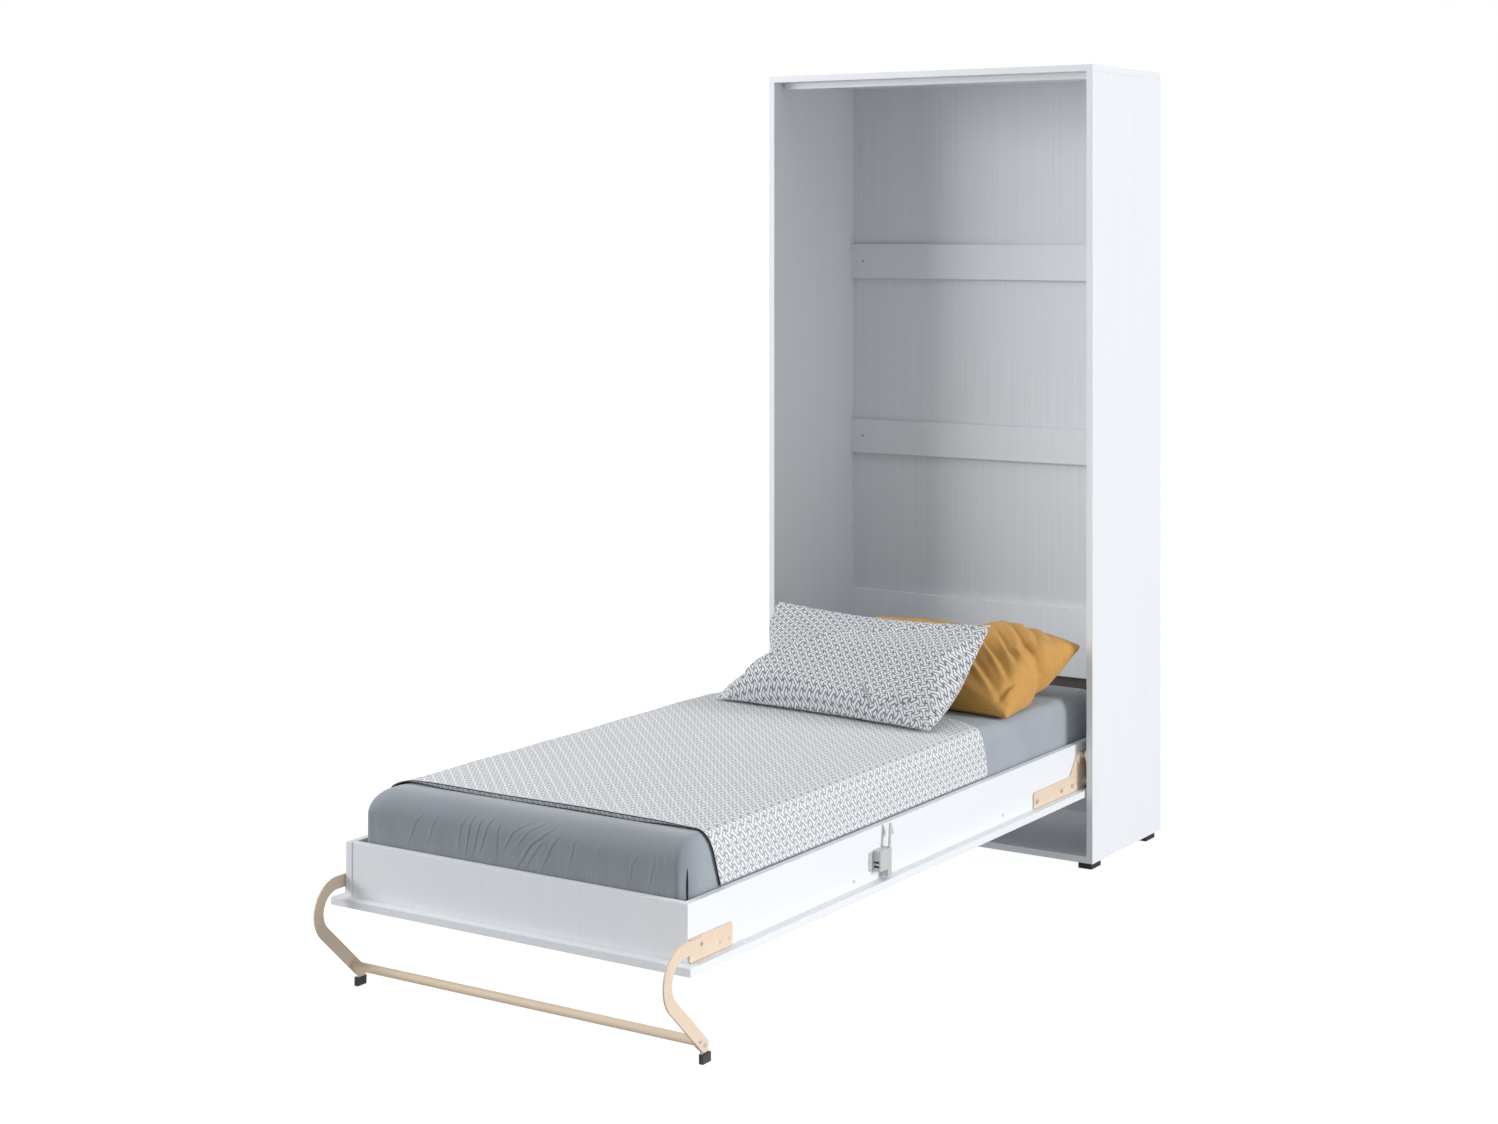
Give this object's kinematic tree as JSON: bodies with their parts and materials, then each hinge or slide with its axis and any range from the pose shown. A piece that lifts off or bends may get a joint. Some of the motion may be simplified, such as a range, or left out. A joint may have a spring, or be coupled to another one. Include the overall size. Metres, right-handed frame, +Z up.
{
  "type": "vertical wall bed",
  "caption": "Vertical folding wall bed: white cabinet, bed box with dressed mattress folding down on side pivots, and a bent steel swing-out leg bar at the foot.",
  "frame": {"origin": "on the floor, under the middle of the open bed's overall box", "axes": "+Z up; the bed opens towards -Y and the cabinet's back faces +Y; +X is to the right seen from the foot end"},
  "size_m": [1.031, 2.404, 2.171],
  "materials": {
    "melamine_white": "white melamine-faced board with faint vertical grain, satin",
    "back_sheet_white": "thin white-faced fibreboard",
    "plastic_black": "moulded black plastic",
    "steel_zinc": "bright zinc-plated steel",
    "steel_champagne": "pale champagne powder coat, fine texture",
    "steel_gold": "yellow-passivated steel",
    "bush_plastic": "natural nylon",
    "rubber_black": "moulded dark rubber",
    "latch_grey": "light grey cast housing",
    "strut_black": "black painted tube",
    "strut_chrome": "hard-chromed rod",
    "birch_ply": "bent birch laminate slats",
    "pine": "planed pine",
    "sheet_grey": "slate grey fitted jersey sheet",
    "coverlet_lattice": "light grey and white woven lattice pattern",
    "pillow_lattice": "light grey and white woven lattice pattern",
    "pillow_mustard": "mustard slub weave"
  },
  "bodies": {
    "cabinet": {"cabinet_side_left": "melamine_white", "cabinet_side_right": "melamine_white", "cabinet_top": "melamine_white", "cabinet_bottom": "melamine_white", "top_stop_rail": "melamine_white", "back_panel": "back_sheet_white", "back_rail_upper": "melamine_white", "back_rail_middle": "melamine_white", "back_board_lower": "melamine_white", "cabinet_feet": "plastic_black", "cabinet_hardware_screws": "steel_zinc", "pivot_plate_left": "steel_zinc", "pivot_plate_right": "steel_zinc", "pivot_pin_left": "steel_zinc", "pivot_pin_right": "steel_zinc", "strut_anchor_left": "steel_zinc", "strut_anchor_right": "steel_zinc", "latch_strike": "steel_zinc", "latch_strike_screws": "steel_zinc"},
    "bed": {"deck_panel": "melamine_white", "side_board_left": "melamine_white", "side_board_right": "melamine_white", "foot_board": "melamine_white", "head_board": "melamine_white", "slat_batten_left": "pine", "slat_batten_right": "pine", "slat_beam_middle": "pine", "slats": "birch_ply", "mattress": "sheet_grey", "coverlet": "coverlet_lattice", "pillow_front": "pillow_lattice", "pillow_back": "pillow_mustard", "hinge_bracket_left": "steel_champagne", "hinge_bracket_right": "steel_champagne", "hinge_bracket_screws": "steel_zinc", "pivot_bushes": "bush_plastic", "hinge_arm_caps": "steel_gold", "strut_stud_left": "steel_gold", "strut_stud_right": "steel_gold", "side_board_screws": "steel_zinc", "leg_bracket_left": "steel_champagne", "leg_bracket_right": "steel_champagne", "leg_bracket_screws": "steel_zinc", "leg_pivot_pins": "steel_zinc", "latch_housing": "latch_grey", "latch_pin": "steel_zinc", "latch_screws": "steel_zinc"},
    "leg": {"leg_arm_left": "steel_champagne", "leg_arm_right": "steel_champagne", "leg_cross_bar": "steel_champagne", "leg_end_plate_left": "steel_champagne", "leg_end_plate_right": "steel_champagne", "leg_foot_left": "rubber_black", "leg_foot_right": "rubber_black", "leg_end_screws": "steel_zinc"},
    "latch_hook": {"latch_hook": "latch_grey"},
    "strut_cylinder_left": {"strut_cylinder_left": "strut_black"},
    "strut_rod_left": {"strut_rod_left": "strut_chrome"},
    "strut_cylinder_right": {"strut_cylinder_right": "strut_black"},
    "strut_rod_right": {"strut_rod_right": "strut_chrome"}
  },
  "joints": [
    {"name": "bed_fold", "type": "hinge", "parent": "cabinet", "child": "bed", "pos_m": [0, 0.782, 0.235], "axis": [-1, 0, 0], "range_deg": [0, 90], "deforming": ["pillow_front", "pillow_back"]},
    {"name": "leg_fold", "type": "hinge", "parent": "bed", "child": "leg", "pos_m": [0, -1.066, 0.251], "axis": [-1, 0, 0], "range_deg": [0, 196.5], "deforming": ["mattress", "coverlet"]},
    {"name": "latch_release", "type": "hinge", "parent": "bed", "child": "latch_hook", "pos_m": [0.488, -0.304, 0.262], "axis": [1, 0, 0], "range_deg": [0, 12], "stiffness_Nm_per_rad": 0.05},
    {"name": "strut_swing_left", "type": "hinge", "parent": "cabinet", "child": "strut_cylinder_left", "pos_m": [-0.484, 1.166, 0.2], "axis": [1, 0, 0], "range_deg": [0, 7]},
    {"name": "strut_slide_left", "type": "slide", "parent": "strut_cylinder_left", "child": "strut_rod_left", "axis": [0, 0.9626, -0.2708], "range_m": [0, 0.08]},
    {"name": "strut_swing_right", "type": "hinge", "parent": "cabinet", "child": "strut_cylinder_right", "pos_m": [0.484, 1.166, 0.2], "axis": [1, 0, 0], "range_deg": [0, 7]},
    {"name": "strut_slide_right", "type": "slide", "parent": "strut_cylinder_right", "child": "strut_rod_right", "axis": [0, 0.9626, -0.2708], "range_m": [0, 0.08]}
  ],
  "couplings": [
    {"joint": "leg_fold", "follows": "bed_fold", "ratio": 2.18},
    {"joint": "strut_swing_left", "follows": "bed_fold", "ratio": 0.0772},
    {"joint": "strut_slide_left", "follows": "bed_fold", "m_per_rad": 0.0501},
    {"joint": "strut_swing_right", "follows": "bed_fold", "ratio": 0.0772},
    {"joint": "strut_slide_right", "follows": "bed_fold", "m_per_rad": 0.0501}
  ]
}
